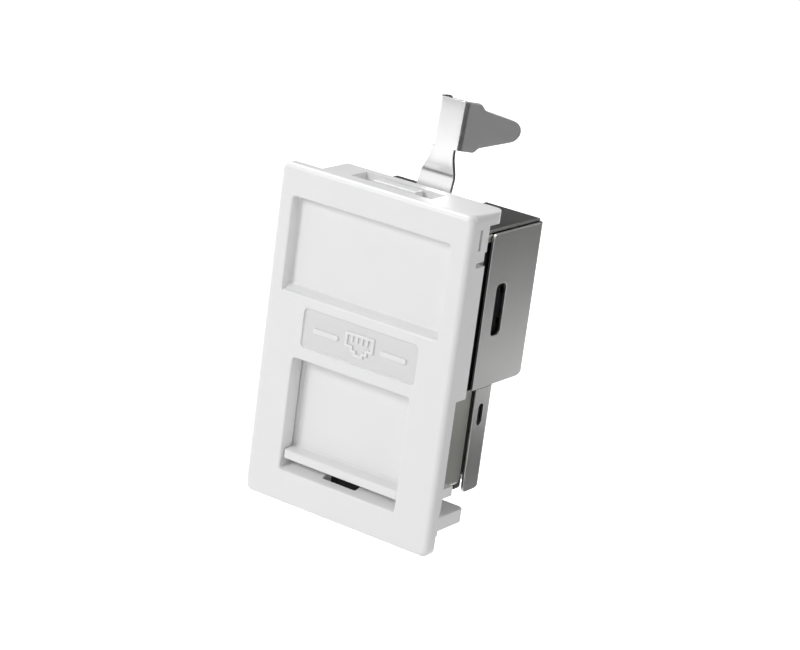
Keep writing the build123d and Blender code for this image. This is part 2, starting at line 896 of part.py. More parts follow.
pieces = {
    "bezel": bezel,
    "shutter": shutter,
    "jack_housing": jack_housing,
    "contact_carrier": contact_carrier,
    "circuit_board": circuit_board,
    "front_shield": front_shield,
    "rear_shield": rear_shield,
    "lower_shield": lower_shield,
    "cable_clamp": cable_clamp,
    **springs,
    **contacts,
    **blocks,
    **blades,
    **caps,
}
for name, piece in pieces.items():
    piece.part.label = name
    export_step(piece.part, f"parts/{name}.step")
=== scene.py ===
"""Shielded keystone jack module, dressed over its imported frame.

Pieces are modelled in millimetres and brought to metres when each one is finished.
"""
import math

import bmesh
import bpy
from mathutils import Matrix, Vector


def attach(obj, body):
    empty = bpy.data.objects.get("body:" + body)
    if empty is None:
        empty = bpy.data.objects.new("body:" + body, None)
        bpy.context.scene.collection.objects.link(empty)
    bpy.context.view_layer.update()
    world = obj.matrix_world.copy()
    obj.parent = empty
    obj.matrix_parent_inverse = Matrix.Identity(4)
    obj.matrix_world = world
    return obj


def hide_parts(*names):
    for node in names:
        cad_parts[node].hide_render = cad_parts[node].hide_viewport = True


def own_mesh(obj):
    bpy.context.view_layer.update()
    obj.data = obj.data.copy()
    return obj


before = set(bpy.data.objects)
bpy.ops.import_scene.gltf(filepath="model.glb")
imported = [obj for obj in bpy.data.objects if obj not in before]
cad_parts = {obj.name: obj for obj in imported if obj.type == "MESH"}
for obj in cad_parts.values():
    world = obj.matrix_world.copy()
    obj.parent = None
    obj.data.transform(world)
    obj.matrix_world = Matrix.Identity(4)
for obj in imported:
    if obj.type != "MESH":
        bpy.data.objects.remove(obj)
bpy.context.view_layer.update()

MM = 0.001
ALONG_X = (1, 0, 0)
ALONG_Y = (0, 1, 0)
ALONG_Z = (0, 0, 1)
# Spans without ends, and through the whole object
ANYWHERE = (-1000.0, 1000.0)
THROUGH = (-30.0, 30.0)
# Slack round a place, and the cosine above which two ways count as the same
TINY = 0.002
SAME_WAY = 0.99
# Bends in degrees: flat enough to merge, smooth to the eye, crisp on sheet metal, and
# sharp enough to break
FLAT = 0.2
SMOOTH = 30.0
CRISP = 20.0
SHARP = 50.0
# How far a cutting tool reaches past what it cuts, and welded blocks into each other
PAST = 1.0
LAP = 0.05


# Camera, as fitted to the photograph: axes, place in metres, lens in millimetres

CAMERA_RIGHT = Vector((0.8088030, 0.5742027, 0.1269995))
CAMERA_DOWN = Vector((0.2721624, -0.1740429, -0.9463808))
CAMERA_FORWARD = Vector((-0.5213111, 0.8000002, -0.2970428))
CAMERA_PLACE = Vector((0.1460317, -0.2159723, 0.0856304))
SENSOR = 36.0
LENS = 115.445
NEAREST = 0.01

camera_data = bpy.data.cameras.new("camera")
camera_data.sensor_width = SENSOR
camera_data.lens = LENS
camera_data.clip_start = NEAREST
camera = bpy.data.objects.new("camera", camera_data)
bpy.context.scene.collection.objects.link(camera)
camera.matrix_world = Matrix.Translation(CAMERA_PLACE) @ Matrix(
    (CAMERA_RIGHT, -CAMERA_DOWN, -CAMERA_FORWARD)
).transposed().to_4x4()
bpy.context.scene.camera = camera
bpy.context.scene.view_settings.view_transform = "Standard"


# Shaping by hand

def at(place):
    """A span of one place."""
    return (place, place)


def beside(side, inner, outer):
    """The span between two distances from the middle, on one side of it."""
    return sorted((side * inner, side * outer))


def let_go():
    """Leaves edit mode with no object selected."""
    if bpy.context.mode != "OBJECT":
        bpy.ops.object.mode_set(mode="OBJECT")
    bpy.ops.object.select_all(action="DESELECT")


def activate(piece):
    """Makes one piece the only selected one, in object mode."""
    let_go()
    piece.select_set(True)
    bpy.context.view_layer.objects.active = piece


def block(x, y, z, name="block"):
    """A cuboid that fills the given spans."""
    let_go()
    spans = (x, y, z)
    bpy.ops.mesh.primitive_cube_add(
        size=1,
        location=[(low + high) / 2 for low, high in spans],
        scale=[high - low for low, high in spans],
    )
    piece = bpy.context.object
    piece.name = name
    bpy.ops.object.transform_apply(location=True, rotation=True, scale=True)
    return piece


def pick(piece, kind, x=ANYWHERE, y=ANYWHERE, z=ANYWHERE, along=None, crease=None):
    """Selects the corners, edges or faces wholly inside the spans.

    along keeps the edges that run along that axis, or the faces that look that way.
    crease keeps the edges that bend by more than that angle.
    """
    activate(piece)
    bpy.ops.object.mode_set(mode="EDIT")
    bpy.ops.mesh.select_mode(type=kind)
    bpy.ops.mesh.select_all(action="DESELECT")
    mesh = bmesh.from_edit_mesh(piece.data)
    spans = (x, y, z)
    items = {"VERT": mesh.verts, "EDGE": mesh.edges, "FACE": mesh.faces}[kind]
    for item in items:
        if not all(
            low - TINY <= corner.co[i] <= high + TINY
            for corner in ([item] if kind == "VERT" else item.verts)
            for i, (low, high) in enumerate(spans)
        ):
            continue
        if crease is not None and item.calc_face_angle(0.0) < math.radians(crease):
            continue
        if along is not None:
            if kind == "EDGE":
                run = (item.verts[1].co - item.verts[0].co).normalized()
                if abs(run.dot(Vector(along))) < SAME_WAY:
                    continue
            elif item.normal.dot(Vector(along)) < SAME_WAY:
                continue
        item.select_set(True)
    bmesh.update_edit_mesh(piece.data)


def shift(piece, move, kind, x=ANYWHERE, y=ANYWHERE, z=ANYWHERE, along=None):
    """Moves the corners or edges inside the spans."""
    pick(piece, kind, x, y, z, along)
    bpy.ops.transform.translate(value=move)
    bpy.ops.object.mode_set(mode="OBJECT")


def round_edges(
    piece, radius, x=ANYWHERE, y=ANYWHERE, z=ANYWHERE, along=None, segments=5, crease=None
):
    """Rounds the edges inside the spans."""
    pick(piece, "EDGE", x, y, z, along, crease)
    bpy.ops.mesh.bevel(
        offset=radius, segments=segments, affect="EDGES", clamp_overlap=False
    )
    bpy.ops.object.mode_set(mode="OBJECT")


def arc_steps(radius, flared=False, count=5):
    """Inset and depth steps round a quarter circle, flared where it starts flat."""
    steps = []
    last = (0.0, 0.0)
    for i in range(1, count + 1):
        turn = math.pi / 2 * i / count
        now = (radius * (1 - math.cos(turn)), radius * math.sin(turn))
        if flared:
            now = (radius * math.sin(turn), radius * (1 - math.cos(turn)))
        steps.append((now[0] - last[0], now[1] - last[1]))
        last = now
    return steps


def step_face(piece, facing, steps, y=ANYWHERE):
    """Insets the face that looks one way, step by step, each with its own depth."""
    pick(piece, "FACE", y=y, along=facing)
    for inset, depth in steps:
        bpy.ops.mesh.inset(thickness=inset, depth=depth, use_even_offset=True)
    bpy.ops.object.mode_set(mode="OBJECT")


def combine(piece, tool, operation):
    """Joins, cuts or crosses a piece with a tool, which is used up."""
    activate(piece)
    step = piece.modifiers.new("combine", "BOOLEAN")
    step.operation = operation
    step.solver = "EXACT"
    step.object = tool
    bpy.ops.object.modifier_apply(modifier=step.name)
    bpy.data.objects.remove(tool)


def cut(piece, tool):
    combine(piece, tool, "DIFFERENCE")


def weld(piece, tool):
    combine(piece, tool, "UNION")


def clean(piece):
    """Merges doubles and drops edges inside flat faces."""
    activate(piece)
    bpy.ops.object.mode_set(mode="EDIT")
    bpy.ops.mesh.select_all(action="SELECT")
    bpy.ops.mesh.remove_doubles(threshold=TINY)
    bpy.ops.mesh.dissolve_limited(angle_limit=math.radians(FLAT))
    bpy.ops.mesh.normals_make_consistent(inside=False)
    bpy.ops.object.mode_set(mode="OBJECT")


def soften(piece, width):
    """Breaks every sharp edge of a piece."""
    activate(piece)
    step = piece.modifiers.new("soften", "BEVEL")
    step.width = width
    step.segments = 2
    step.limit_method = "ANGLE"
    step.angle_limit = math.radians(SHARP)
    step.use_clamp_overlap = False
    bpy.ops.object.modifier_apply(modifier=step.name)


def sinker(x, z, corner, rim, depth, base, slope=0.0):
    """A tool for a sunk place in the front face, with a rounded rim and base.

    slope is how far its lower side rises towards the base.
    """
    tool = block((x[0] - rim, x[1] + rim), (-PAST, 0.0), (z[0] - rim, z[1] + rim))
    round_edges(tool, corner + rim, along=ALONG_Y, segments=8)
    straight = depth - rim - base
    step_face(
        tool, ALONG_Y,
        arc_steps(rim, flared=True) + [(0.0, straight)] + arc_steps(base),
        y=at(0.0),
    )
    if slope:
        below = (ANYWHERE[0], sum(z) / 2)
        shift(tool, (0, 0, slope), "VERT", y=(depth - base, depth), z=below)
    return tool


def rolled_rim(x, low, radius):
    """A tool that turns the rim under a sunk place into a quarter round."""
    tool = block(x, (-PAST, radius), (low - radius, low + LAP))
    roller = block(
        (x[0] - PAST, x[1] + PAST), (0.0, 2 * radius), (low - 2 * radius, low)
    )
    round_edges(roller, radius, y=at(0.0), z=at(low), segments=8)
    cut(tool, roller)
    return tool


# Materials

# Sockets of a colour mix
MIX_LOW = 6
MIX_HIGH = 7
MIX_RESULT = 2
# Where a noise's values mostly lie, and its relief as a share of its grain
NOISE_LOW = 0.3
NOISE_HIGH = 0.7
RELIEF = 0.1
# How wide the soft changes of tone are, in mm, on plastic and on sheet metal
DRIFT = 9
PATCH = 6


def linear(code):
    """An sRGB hex colour as linear red, green, blue and a full alpha."""
    parts = [int(code[i:i + 2], 16) / 255 for i in (1, 3, 5)]
    return tuple(
        c / 12.92 if c <= 0.04045 else ((c + 0.055) / 1.055) ** 2.4 for c in parts
    ) + (1.0,)


def add_node(tree, kind, settings=None, sockets=None):
    """Adds a node with its settings, and its sockets as values or links."""
    made = tree.nodes.new(kind)
    for name, value in (settings or {}).items():
        setattr(made, name, value)
    for name, value in (sockets or {}).items():
        if isinstance(value, bpy.types.NodeSocket):
            tree.links.new(value, made.inputs[name])
        else:
            made.inputs[name].default_value = value
    return made


def lay_on(tree, fine, soft, sheen, tones, roughness, spread, grain_mm, bump):
    """Leads noises to the shader: soft to its tone, sheen to its gloss, fine to relief."""
    shader = tree.nodes["Principled BSDF"]
    tone = add_node(
        tree, "ShaderNodeMix", {"data_type": "RGBA"}, {"Factor": soft.outputs["Fac"]}
    )
    for socket, code in zip((MIX_LOW, MIX_HIGH), tones):
        tone.inputs[socket].default_value = linear(code)
    tree.links.new(tone.outputs[MIX_RESULT], shader.inputs["Base Color"])
    gloss = add_node(
        tree, "ShaderNodeMapRange", None,
        {
            "Value": sheen.outputs["Fac"], "From Min": NOISE_LOW, "From Max": NOISE_HIGH,
            "To Min": roughness - spread, "To Max": roughness + spread,
        },
    )
    tree.links.new(gloss.outputs["Result"], shader.inputs["Roughness"])
    relief = add_node(
        tree, "ShaderNodeBump", None,
        {
            "Height": fine.outputs["Fac"], "Strength": bump,
            "Distance": grain_mm * MM * RELIEF,
        },
    )
    tree.links.new(relief.outputs["Normal"], shader.inputs["Normal"])


def moulded(name, colour, deep, roughness, grain_mm, bump, ior=1.54):
    """Moulded plastic: a spark-eroded grain and a faint drift in tone."""
    material = bpy.data.materials.new(name)
    material.use_nodes = True
    tree = material.node_tree
    tree.nodes["Principled BSDF"].inputs["IOR"].default_value = ior
    place = add_node(tree, "ShaderNodeTexCoord").outputs["Object"]
    grain = add_node(
        tree, "ShaderNodeTexNoise", None,
        {"Vector": place, "Scale": 1 / (grain_mm * MM), "Detail": 3.0, "Roughness": 0.6},
    )
    drift = add_node(
        tree, "ShaderNodeTexNoise", None,
        {"Vector": place, "Scale": 1 / (DRIFT * MM), "Detail": 2.0, "Roughness": 0.5},
    )
    lay_on(
        tree, fine=grain, soft=drift, sheen=drift, tones=(deep, colour),
        roughness=roughness, spread=0.03, grain_mm=grain_mm, bump=bump,
    )
    return material


def rolled(name, colour, deep, roughness, grain_mm, bump, stretch):
    """Rolled sheet metal: fine lines along the rolling way and soft patches."""
    material = bpy.data.materials.new(name)
    material.use_nodes = True
    tree = material.node_tree
    tree.nodes["Principled BSDF"].inputs["Metallic"].default_value = 1.0
    place = add_node(tree, "ShaderNodeTexCoord").outputs["Object"]
    along = add_node(
        tree, "ShaderNodeMapping", None, {"Vector": place, "Scale": stretch}
    ).outputs["Vector"]
    lines = add_node(
        tree, "ShaderNodeTexNoise", None,
        {"Vector": along, "Scale": 1 / (grain_mm * MM), "Detail": 4.0, "Roughness": 0.65},
    )
    patches = add_node(
        tree, "ShaderNodeTexNoise", None,
        {"Vector": place, "Scale": 1 / (PATCH * MM), "Detail": 3.0, "Roughness": 0.55},
    )
    lay_on(
        tree, fine=lines, soft=patches, sheen=lines, tones=(deep, colour),
        roughness=roughness, spread=0.012, grain_mm=grain_mm, bump=bump,
    )
    return material


# ABS, injection moulded in a finely eroded tool: an even satin white that rolls
# softly over its edges
white_abs = moulded(
    "white_abs_satin", "#EBEBEB", "#E8E8E9", roughness=0.36, grain_mm=0.14, bump=0.10
)
# The same plastic on the eroded ground of the sign field: duller, and its colour painted a
# shade deeper for the shade in the sunk field
field_abs_painted_shade = moulded(
    "white_abs_dull_painted_shade", "#DFDFE0", "#DCDCDD", roughness=0.5, grain_mm=0.14, bump=0.2
)
# PBT, moulded: a dense black with a dull skin, as plug sockets have
black_pbt = moulded(
    "black_pbt_matt", "#141415", "#101011", roughness=0.48, grain_mm=0.18, bump=0.2,
    ior=1.57,
)
# PBT, moulded in grey: a dry matt face round the wire slots
grey_pbt = moulded(
    "grey_pbt_matt", "#5E6164", "#585B5E", roughness=0.5, grain_mm=0.18, bump=0.2,
    ior=1.57,
)
# Polycarbonate, moulded hazy: a smoother and glossier skin
haze_pc = moulded(
    "haze_polycarbonate", "#CDD2D4", "#C4CACD", roughness=0.22, grain_mm=0.3, bump=0.05,
    ior=1.58,
)
# Glass-epoxy board under dark solder resist: a soft gloss with a faint weave
board_resist = moulded(
    "charcoal_solder_resist", "#1B1D1C", "#171918", roughness=0.35, grain_mm=0.25,
    bump=0.15, ior=1.52,
)
# Tinned steel sheet, rolled bright and polished
bright_steel = rolled(
    "tinned_steel_bright", "#EEEEEE", "#E8E8E8", roughness=0.17, grain_mm=0.1,
    bump=0.05, stretch=(1, 1, 0.06),
)
# Nickel-plated steel sheet: a soft grey that spreads its reflections
can_steel = rolled(
    "nickel_plate_satin", "#C4C4C3", "#BEBEBD", roughness=0.3, grain_mm=0.12,
    bump=0.012, stretch=(1, 1, 0.05),
)
# The same plated sheet, painted a shade darker on the small lower can for the shade that
# falls low behind the bezel
low_steel_painted_shade = rolled(
    "nickel_plate_painted_shade", "#B0B0AF", "#A8A8A7", roughness=0.24, grain_mm=0.12,
    bump=0.012, stretch=(1, 1, 0.05),
)
# Plated steel sheet of the front sleeve, painted darker than the cans for the shade it
# stands in behind the bezel
sleeve_steel_painted_shade = rolled(
    "sleeve_plate_painted_shade", "#A2A29C", "#9A9A94", roughness=0.3, grain_mm=0.12,
    bump=0.02, stretch=(1, 1, 0.05),
)
# Gold-flashed phosphor bronze wire, drawn smooth
gold_flash = rolled(
    "gold_flash_wire", "#E3BE6C", "#DDB560", roughness=0.2, grain_mm=0.1,
    bump=0.04, stretch=(1, 0.1, 1),
)
# Music wire, drawn and left bright
spring_wire_steel = rolled(
    "drawn_spring_wire", "#BDBDBC", "#B2B2B0", roughness=0.25, grain_mm=0.1,
    bump=0.04, stretch=(1, 1, 0.2),
)

# What the nodes inside are made of, by the start of their names
INNER_FINISHES = (
    ("contact_wire", gold_flash),
    ("idc_blade", gold_flash),
    ("idc_block", grey_pbt),
    ("wire_cap", haze_pc),
    ("circuit_board", board_resist),
    ("", black_pbt),
)
for node_name, node_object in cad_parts.items():
    finish = next(look for start, look in INNER_FINISHES if node_name.startswith(start))
    node_object.data.materials.clear()
    node_object.data.materials.append(finish)


def complete(piece, material, body="module", nodes=(), sharp=SMOOTH):
    """Shades a piece, brings it to metres and gives it its finish, body and nodes."""
    activate(piece)
    bpy.ops.object.shade_smooth_by_angle(angle=math.radians(sharp))
    weigh = piece.modifiers.new("weigh", "WEIGHTED_NORMAL")
    weigh.keep_sharp = True
    bpy.ops.object.modifier_apply(modifier=weigh.name)
    piece.scale = (MM, MM, MM)
    bpy.ops.object.transform_apply(location=True, rotation=True, scale=True)
    piece.data.materials.clear()
    piece.data.materials.append(material)
    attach(piece, body)
    if nodes:
        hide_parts(*nodes)


# Bezel

HALF_WIDTH = 12.5
HALF_HEIGHT = 19.0
FACE_CORNER = 1.0
FACE_ROUND = 0.65
FLANGE = 1.4
# Where what stands behind the face starts, buried in its plate
ROOT = 1.0
PANEL = 1.9
INNER = 11.3
INNER_Z = (-17.5, 17.5)
WALL_REAR = 3.5
WALL_LOW = -1.4
WALL_EDGE = 0.12
WALL_LAP = 0.2
RAIL_INNER = 9.85
RAIL_REAR = 3.4
RAIL_LAP = 0.1
LEDGE_X = (8.75, 10.2)
LEDGE_FRONT = 1.2
LEDGES_Z = ((-4.75, -3.35), (15.8, 16.8))
SILL_HALF = 9.9
SILL_REAR = 2.95
SILL_TOP = -14.6
LOBE_LEFT = -8.1
LOBE_REAR = 6.2
LOBE_FLOOR = 17.7
LOBE_CORNER = 1.4
LOBE_SHOULDER = 0.9
WEB_RIGHT = 8.6
WEB_LOW = 16.5
MOULDED_EDGE = 0.15
HOOK_X = (7.9, 12.0)
HOOK_REAR = 7.3
HOOK_Z = (-16.45, -14.9)
HOOK_CORNER = 0.8
# Lower end, upper end and outer side of each clip
CLIPS = ((8.0, 11.0, 11.3), (-13.1, -12.0, 11.5))
CLIP_INNER = 10.65
CLIP_REAR = 4.35
BARB_INNER = 10.25
BARB_REAR = 5.0
BARB_SLOPE = 0.4
RECESS_X = (-10.5, 10.15)
RECESS_Z = (5.05, 15.58)
RECESS_ROLL_TOP = 5.2
FIELD_X = (-7.18, 8.0)
FIELD_Z = (-0.62, 3.87)
WINDOW_X = (-8.02, 7.62)
WINDOW_Z = (-15.1, -2.08)
WINDOW_ROLL_X = (-7.6, 7.2)
NOTCH_X = (-2.9, 1.65)
NOTCH_Y = (1.1, 3.6)
NOTCH_Z = (-16.4, -14.0)
NOTCH_CORNER = 0.2
POCKET_X = (-4.75, 5.65)
POCKET_Y = (2.1, 4.9)
POCKET_DEPTH = 1.6
TONGUE_X = (-2.55, 2.95)
TONGUE_Y = (3.1, 4.55)
TONGUE_Z = (16.0, 18.95)
# Depth and height of the cuts that free the flexing tab in a side wall
TAB_CUTS = (
    ((1.72, 2.17), (15.17, 17.44)),
    ((3.1, 4.0), (13.87, 14.87)),
    ((1.74, 4.0), (13.32, 13.87)),
)
TAB_REACH = (11.2, 13.0)

# Face plate, its front edge rounded over
bezel = block(
    (-HALF_WIDTH, HALF_WIDTH), (FACE_ROUND, FLANGE), (-HALF_HEIGHT, HALF_HEIGHT),
    "bezel_body",
)
round_edges(bezel, FACE_CORNER, along=ALONG_Y, segments=8)
step_face(bezel, (0, -1, 0), arc_steps(FACE_ROUND, count=6))

# Inner panel, then side walls, rails, ledges and sill behind the face
weld(bezel, block((-INNER, INNER), (ROOT, PANEL), INNER_Z))
for side in (-1, 1):
    wall = block(
        beside(side, INNER, HALF_WIDTH), (ROOT, WALL_REAR),
        (WALL_LOW, LOBE_FLOOR + WALL_LAP),
    )
    round_edges(wall, WALL_EDGE, y=at(WALL_REAR), segments=2)
    weld(bezel, wall)
    across = beside(side, RAIL_INNER, INNER + RAIL_LAP)
    weld(bezel, block(across, (ROOT, RAIL_REAR), INNER_Z))
    for ledge_z in LEDGES_Z:
        weld(bezel, block(beside(side, *LEDGE_X), (LEDGE_FRONT, RAIL_REAR), ledge_z))
weld(bezel, block((-SILL_HALF, SILL_HALF), (ROOT, SILL_REAR), (INNER_Z[0], SILL_TOP)))

# Lobe along the top with its thicker web
lobe = block((LOBE_LEFT, HALF_WIDTH), (ROOT, LOBE_REAR), (LOBE_FLOOR, HALF_HEIGHT))
round_edges(
    lobe, LOBE_CORNER, x=at(HALF_WIDTH), y=at(LOBE_REAR), along=ALONG_Z, segments=8
)
round_edges(
    lobe, LOBE_SHOULDER, x=at(HALF_WIDTH), z=at(HALF_HEIGHT), along=ALONG_Y, segments=6
)
round_edges(lobe, MOULDED_EDGE, y=at(LOBE_REAR), z=at(HALF_HEIGHT), segments=3)
weld(bezel, lobe)
weld(bezel, block((LOBE_LEFT, WEB_RIGHT), (ROOT, LOBE_REAR), (WEB_LOW, LOBE_FLOOR + LAP)))

# Snap hooks, and clips with a sloped barb
for side in (-1, 1):
    hook = block(beside(side, *HOOK_X), (ROOT, HOOK_REAR), HOOK_Z)
    round_edges(hook, HOOK_CORNER, y=at(HOOK_REAR), along=ALONG_Z, segments=6)
    round_edges(hook, MOULDED_EDGE, z=at(HOOK_Z[1]), segments=3)
    weld(bezel, hook)
    for low, high, outer in CLIPS:
        across = beside(side, CLIP_INNER, outer)
        weld(bezel, block(across, (ROOT, CLIP_REAR), (low, high)))
        barb = block(beside(side, BARB_INNER, outer), (CLIP_REAR, BARB_REAR), (low, high))
        shift(
            barb, (side * BARB_SLOPE, 0, 0), "EDGE",
            x=beside(side, BARB_INNER, BARB_INNER + LAP), y=at(BARB_REAR), along=ALONG_Z,
        )
        weld(bezel, barb)

# Label recess: its lower side rolls out over a broad round rim
cut(bezel, sinker(
    RECESS_X, RECESS_Z, corner=0.4, rim=0.2, depth=1.3, base=0.3, slope=0.45
))
cut(bezel, rolled_rim(RECESS_X, RECESS_ROLL_TOP, radius=0.5))
# Shallow field
cut(bezel, sinker(FIELD_X, FIELD_Z, corner=0.5, rim=0.06, depth=0.24, base=0.06))
# Window, with its sill rounded over
cut(bezel, sinker(
    WINDOW_X, WINDOW_Z, corner=0.35, rim=0.2, depth=3.0, base=0.0, slope=0.75
))
cut(bezel, rolled_rim(WINDOW_ROLL_X, WINDOW_Z[0], radius=0.25))
notch = block(NOTCH_X, NOTCH_Y, NOTCH_Z)
round_edges(notch, NOTCH_CORNER, y=at(NOTCH_Y[0]), along=ALONG_Z, segments=4)
cut(bezel, notch)

# Release pocket in the lobe round its tongue
pocket = block(POCKET_X, POCKET_Y, (HALF_HEIGHT, HALF_HEIGHT + PAST))
step_face(pocket, (0, 0, -1), [(0.0, POCKET_DEPTH)])
tongue = block(TONGUE_X, TONGUE_Y, TONGUE_Z)
round_edges(tongue, MOULDED_EDGE, z=at(TONGUE_Z[1]), segments=3)
cut(pocket, tongue)
cut(bezel, pocket)

# Flexing tab in the upper side walls
for side in (-1, 1):
    for tab_y, tab_z in TAB_CUTS:
        cut(bezel, block(beside(side, *TAB_REACH), tab_y, tab_z))
clean(bezel)
complete(bezel, white_abs, nodes=("bezel",))

# Shutter: a plate between guides, shallow in its middle, with a finger lip

PLATE_HALF = 8.6
PLATE_Y = (2.05, 3.05)
PLATE_Z = (-13.9, -1.3)
GUIDE_HALF = 9.7
GUIDE_FRONT = 2.1
GUIDE_Z = (-3.3, -1.9)
SHALLOW_X = (-7.55, 7.2)
SHALLOW_FLOOR = 2.13
SHALLOW_Z = (-12.45, -1.5)
LIP_X = (-7.88, 7.48)
LIP_Y = (0.37, 2.3)
LIP_Z = (-13.9, -12.85)
LIP_SLOPE = 0.15
LIP_EDGE = 0.22

flap = block((-PLATE_HALF, PLATE_HALF), PLATE_Y, PLATE_Z, "shutter_flap")
weld(flap, block((-GUIDE_HALF, GUIDE_HALF), (GUIDE_FRONT, PLATE_Y[1]), GUIDE_Z))
cut(flap, block(SHALLOW_X, (PLATE_Y[0] - PAST, SHALLOW_FLOOR), SHALLOW_Z))
# The lip's top slopes down to its nose
lip = block(LIP_X, LIP_Y, LIP_Z)
shift(lip, (0, 0, LIP_SLOPE), "EDGE", y=at(LIP_Y[1]), z=at(LIP_Z[1]))
round_edges(lip, LIP_EDGE, y=at(LIP_Y[0]), segments=4)
weld(flap, lip)
clean(flap)
complete(flap, white_abs, body="shutter", nodes=("shutter",))

# Plain sign in the shallow field: the outline of a socket between two bars

GROUND_GAP = 0.08
GROUND_Y = (0.232, 0.45)
GROUND_CORNER = 0.42
SIGN_X = 0.41
SIGN_Z = 1.62
SIGN_Y = (0.02, 0.3)
SIGN_WALL = 0.32
SIGN_EDGE = 0.07
# Half width, lower end and upper end of each step of the socket's opening
TIERS = ((1.9, -0.5, 1.25), (1.15, -0.95, 0.4), (0.65, -1.35, 0.4))
PINS = (-1.5, -0.5, 0.5, 1.5)
PIN_STEP = 0.66
PIN_HALF = 0.13
PIN_Z = (0.2, 1.1)
BAR_X = (2.8, 6.2)
BAR_HALF = 0.28
BAR_END = 0.27


def socket_outline(margin, y):
    """The stepped opening of a plug socket, drawn in by a margin."""
    shape = None
    for half, low, high in TIERS:
        tier = block(
            (SIGN_X - half + margin, SIGN_X + half - margin), y,
            (SIGN_Z + low + margin, SIGN_Z + high - (margin if shape is None else 0.0)),
            "socket_sign",
        )
        if shape is None:
            shape = tier
        else:
            weld(shape, tier)
    return shape


# A thin sheet over the field's floor, in the plastic painted a shade deeper: painted shade
# of the sunk field
ground = block(
    (FIELD_X[0] + GROUND_GAP, FIELD_X[1] - GROUND_GAP), GROUND_Y,
    (FIELD_Z[0] + GROUND_GAP, FIELD_Z[1] - GROUND_GAP), "field_ground_painted_shade",
)
round_edges(ground, GROUND_CORNER, along=ALONG_Y, segments=8)
complete(ground, field_abs_painted_shade)

sign = socket_outline(0.0, SIGN_Y)
cut(sign, socket_outline(SIGN_WALL, (-PAST, PAST)))
for step in PINS:
    middle = SIGN_X + step * PIN_STEP
    weld(sign, block(
        (middle - PIN_HALF, middle + PIN_HALF), SIGN_Y,
        (SIGN_Z + PIN_Z[0], SIGN_Z + PIN_Z[1]),
    ))
clean(sign)
for side in (-1, 1):
    bar = block(
        sorted(SIGN_X + side * reach for reach in BAR_X), SIGN_Y,
        (SIGN_Z - BAR_HALF, SIGN_Z + BAR_HALF),
    )
    round_edges(bar, BAR_END, along=ALONG_Y, segments=6)
    weld(sign, bar)
soften(sign, SIGN_EDGE)
complete(sign, white_abs)

# Folded sheet metal behind the bezel

SHEET = 0.3
BEND = 0.45
RIM = 0.09
# How deep a cut goes that passes only one sheet, and where all cuts end at the rear
SHEET_CUT = 0.5
BEHIND = 20.0
CAN_HALF = 10.08
CAN_FRONT = 8.6
CAN_BACK = 18.5
CAN_LOW = -2.32
CAN_TOP = 15.67
CAN_OPEN = 17.5
FLAP_X = (-9.56, 9.56)
FLAP_FRONT = 8.27
SIDE_TOP = 15.26
SIDE_TOP_CORNER = 0.7
SIDE_LOW_CORNER = 1.2
SLOT_Y = (10.57, 12.51)
SLOT_Z = (3.505, 9.395)
SLOT_CORNER = 0.6
ENTRY_X = (-2.6, 2.6)
ENTRY_FRONT = 10.5
ENTRY_LOW = 9.77
ENTRY_ROUND = 2.59
LOW_FRONT = 9.5
LOW_BACK = 12.75
LOW_LOW = -14.4
LOW_FRONT_CORNER = 0.6
LOW_BACK_CORNER = 1.0
OVAL_Y = (10.345, 11.395)
OVAL_Z = (-6.73, -4.23)
OVAL_CORNER = 0.52
SLEEVE_HALF = 9.7
SLEEVE_Y = (4.2, 9.1)
SLEEVE_Z = (-13.5, 15.3)
SLEEVE_CORNER = 0.6
SLEEVE_LOW_CORNER = 1.0
# Where the sleeve stays back from the can's sides
SLEEVE_CUT_X = (9.0, 12.0)
SLEEVE_CUT_Y = (7.7, 12.0)
SLEEVE_CUT_TOP = 14.4
STUMP_X = (-9.5, 9.5)
STUMP_Y = (8.6, 9.7)
STUMP_Z = (-14.1, -12.6)
STUMP_ROUND = 0.4


def folded_wall(front, back, low, high, name):
    """A back panel and two sides, bent from one sheet."""
    wall = block((-CAN_HALF, CAN_HALF), (front, back), (low, high), name)
    round_edges(wall, BEND, y=at(back), along=ALONG_Z, segments=6)
    inside = block(
        (SHEET - CAN_HALF, CAN_HALF - SHEET), (front - PAST, back - SHEET),
        (low - PAST, high + PAST),
    )
    round_edges(inside, BEND - SHEET, y=at(back - SHEET), along=ALONG_Z)
    cut(wall, inside)
    return wall


def break_rims(piece, **face):
    """Breaks the sharp rims that lie in one outer face."""
    round_edges(piece, RIM, segments=3, crease=SHARP, **face)


def break_side_rims(piece):
    """Breaks the rims that lie in the two outer sides of a can."""
    for side in (-CAN_HALF, CAN_HALF):
        break_rims(piece, x=at(side))


# Rear can: walls with their slots, then the flaps that close it
can = folded_wall(CAN_FRONT, CAN_BACK, CAN_LOW, CAN_TOP, "rear_can")
side_view = block(THROUGH, (CAN_FRONT, CAN_BACK), (CAN_LOW, SIDE_TOP))
round_edges(side_view, SIDE_TOP_CORNER, y=at(CAN_FRONT), z=at(SIDE_TOP), segments=8)
round_edges(side_view, SIDE_LOW_CORNER, y=at(CAN_BACK), z=at(CAN_LOW), segments=4)
combine(can, side_view, "INTERSECT")
cut(can, block(FLAP_X, (CAN_OPEN, BEHIND), (CAN_LOW - PAST, CAN_TOP + PAST)))
slot = block(THROUGH, SLOT_Y, SLOT_Z)
round_edges(slot, SLOT_CORNER, along=ALONG_X, segments=6)
cut(can, slot)
clean(can)
break_side_rims(can)
flaps = block(FLAP_X, (FLAP_FRONT, CAN_BACK), (CAN_LOW, CAN_TOP))
round_edges(flaps, BEND, y=at(CAN_BACK), along=ALONG_X, segments=6)
inside = block(
    THROUGH, (CAN_FRONT - PAST, CAN_BACK - SHEET), (CAN_LOW + SHEET, CAN_TOP - SHEET)
)
round_edges(inside, BEND - SHEET, y=at(CAN_BACK - SHEET), along=ALONG_X)
cut(flaps, inside)
cut(flaps, block(
    THROUGH, (CAN_FRONT - PAST, LOW_BACK - SHEET), (CAN_LOW - PAST, CAN_LOW + PAST)
))
